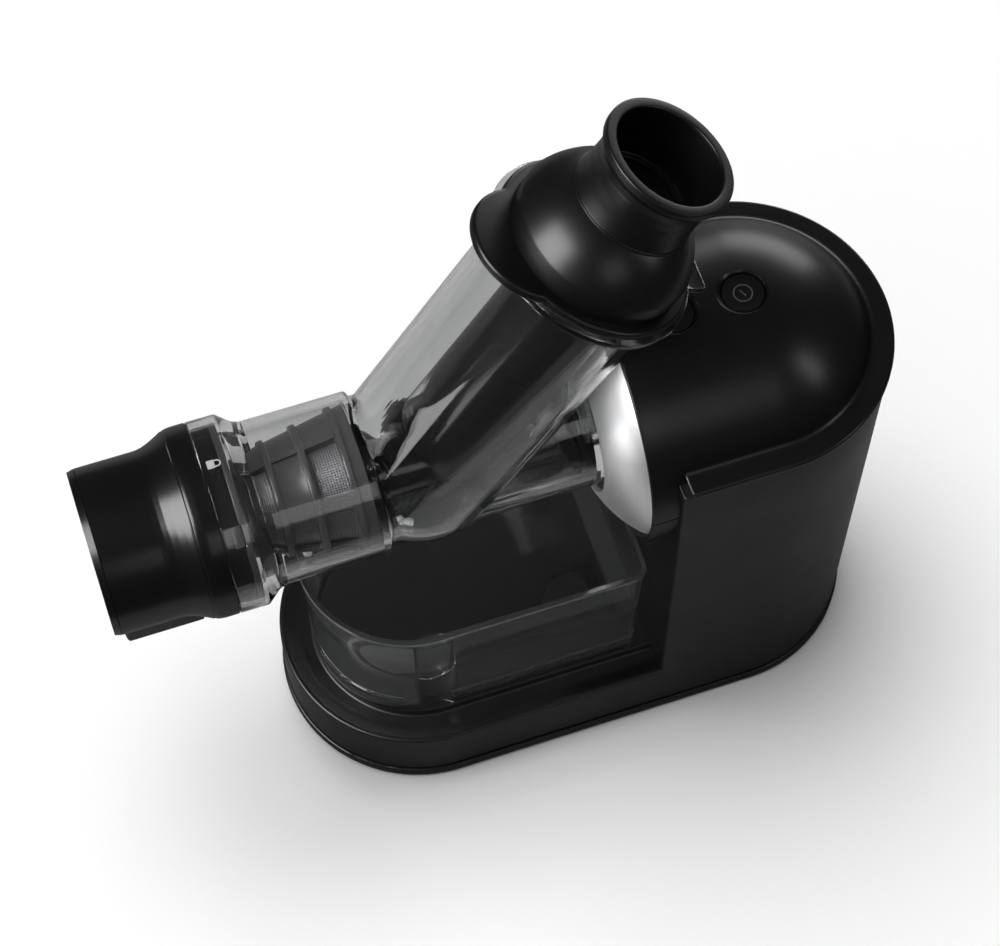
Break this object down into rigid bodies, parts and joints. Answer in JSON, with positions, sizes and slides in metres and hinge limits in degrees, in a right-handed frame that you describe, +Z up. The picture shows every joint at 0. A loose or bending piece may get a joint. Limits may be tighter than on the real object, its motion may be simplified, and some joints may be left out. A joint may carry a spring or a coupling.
{
  "type": "cold press juicer",
  "caption": "Horizontal cold press juicer: motor tower with a steel cone, clear chamber with an inclined feed tube and pusher, end cap and smoked juice container.",
  "frame": {"origin": "middle of the footprint, on the surface that the feet stand on", "axes": "+X along the juicing axis towards the motor tower, -Y to the front, +Z up"},
  "size_m": [0.351, 0.132, 0.3975],
  "materials": {
    "black_plastic": "satin black moulding",
    "gloss_black": "semi-gloss black moulding",
    "dark_plastic": "polished black moulding",
    "clear_plastic": "clear polished plastic",
    "smoke_plastic": "smoke-tinted clear plastic",
    "brushed_steel": "turned and brushed",
    "steel": "plain steel",
    "iron": "laminated iron",
    "bronze": "sintered bronze",
    "rubber": "matt",
    "seal": "silicone",
    "nylon": "natural nylon",
    "board": "circuit board"
  },
  "bodies": {
    "housing": {"lower_housing": "black_plastic", "top_cover": "black_plastic", "base_plate": "black_plastic", "rubber_feet": "rubber", "base_screws": "steel", "steel_cone": "brushed_steel", "chamber_hub": "black_plastic", "shaft_seal": "rubber", "front_gear_plate": "steel", "rear_gear_plate": "steel", "plate_posts": "steel", "drive_bearings": "bronze", "layshaft_pins": "steel", "motor_stator": "iron", "motor_bracket": "steel", "control_board": "board", "tact_switches": "black_plastic", "cord_grommet": "rubber"},
    "chamber": {"juicing_chamber": "clear_plastic", "chamber_seal": "seal", "strainer_cage": "dark_plastic", "strainer_mesh": "steel"},
    "end_cap": {"end_cap": "gloss_black", "nose_carrier": "dark_plastic", "cap_bush": "nylon"},
    "auger_drive": {"auger": "dark_plastic", "auger_shaft": "steel", "drive_socket": "steel", "output_gear": "nylon"},
    "second_gear": {"second_gear": "nylon"},
    "first_gear": {"first_gear": "nylon"},
    "motor": {"motor_rotor": "iron", "cooling_fan": "dark_plastic"},
    "pusher": {"pusher_body": "black_plastic", "pusher_plate": "black_plastic", "pusher_grip": "black_plastic"},
    "juice_container": {"juice_container": "smoke_plastic"},
    "power_button": {"power_button": "black_plastic"},
    "reverse_button": {"reverse_button": "black_plastic"}
  },
  "joints": [
    {"name": "auger_turn", "type": "hinge", "parent": "housing", "child": "auger_drive", "pos_m": [0, 0, 0.203], "axis": [1, 0, 0], "continuous": true},
    {"name": "second_gear_turn", "type": "hinge", "parent": "housing", "child": "second_gear", "pos_m": [0, 0, 0.15675], "axis": [1, 0, 0], "continuous": true},
    {"name": "first_gear_turn", "type": "hinge", "parent": "housing", "child": "first_gear", "pos_m": [0, 0, 0.12175], "axis": [1, 0, 0], "continuous": true},
    {"name": "motor_turn", "type": "hinge", "parent": "housing", "child": "motor", "pos_m": [0, 0, 0.09295], "axis": [1, 0, 0], "continuous": true},
    {"name": "chamber_twist", "type": "hinge", "parent": "housing", "child": "chamber", "pos_m": [0, 0, 0.203], "axis": [1, 0, 0], "range_deg": [-40, 0]},
    {"name": "cap_twist", "type": "hinge", "parent": "chamber", "child": "end_cap", "pos_m": [0, 0, 0.203], "axis": [1, 0, 0], "range_deg": [-30, 0]},
    {"name": "pusher_slide", "type": "slide", "parent": "chamber", "child": "pusher", "axis": [0.5, 0, 0.866], "range_m": [0, 0.13]},
    {"name": "container_slide", "type": "slide", "parent": "housing", "child": "juice_container", "axis": [0, -0.989, 0.148], "range_m": [0, 0.13]},
    {"name": "power_press", "type": "slide", "parent": "housing", "child": "power_button", "axis": [0, 0, -1], "range_m": [0, 0.0012], "stiffness_N_per_m": 900, "springref_m": -0.001},
    {"name": "reverse_press", "type": "slide", "parent": "housing", "child": "reverse_button", "axis": [0, 0, -1], "range_m": [0, 0.0012], "stiffness_N_per_m": 900, "springref_m": -0.001}
  ],
  "couplings": [
    {"joint": "second_gear_turn", "follows": "auger_turn", "ratio": -4.2857},
    {"joint": "first_gear_turn", "follows": "auger_turn", "ratio": 17.143},
    {"joint": "motor_turn", "follows": "auger_turn", "ratio": -85.714}
  ]
}
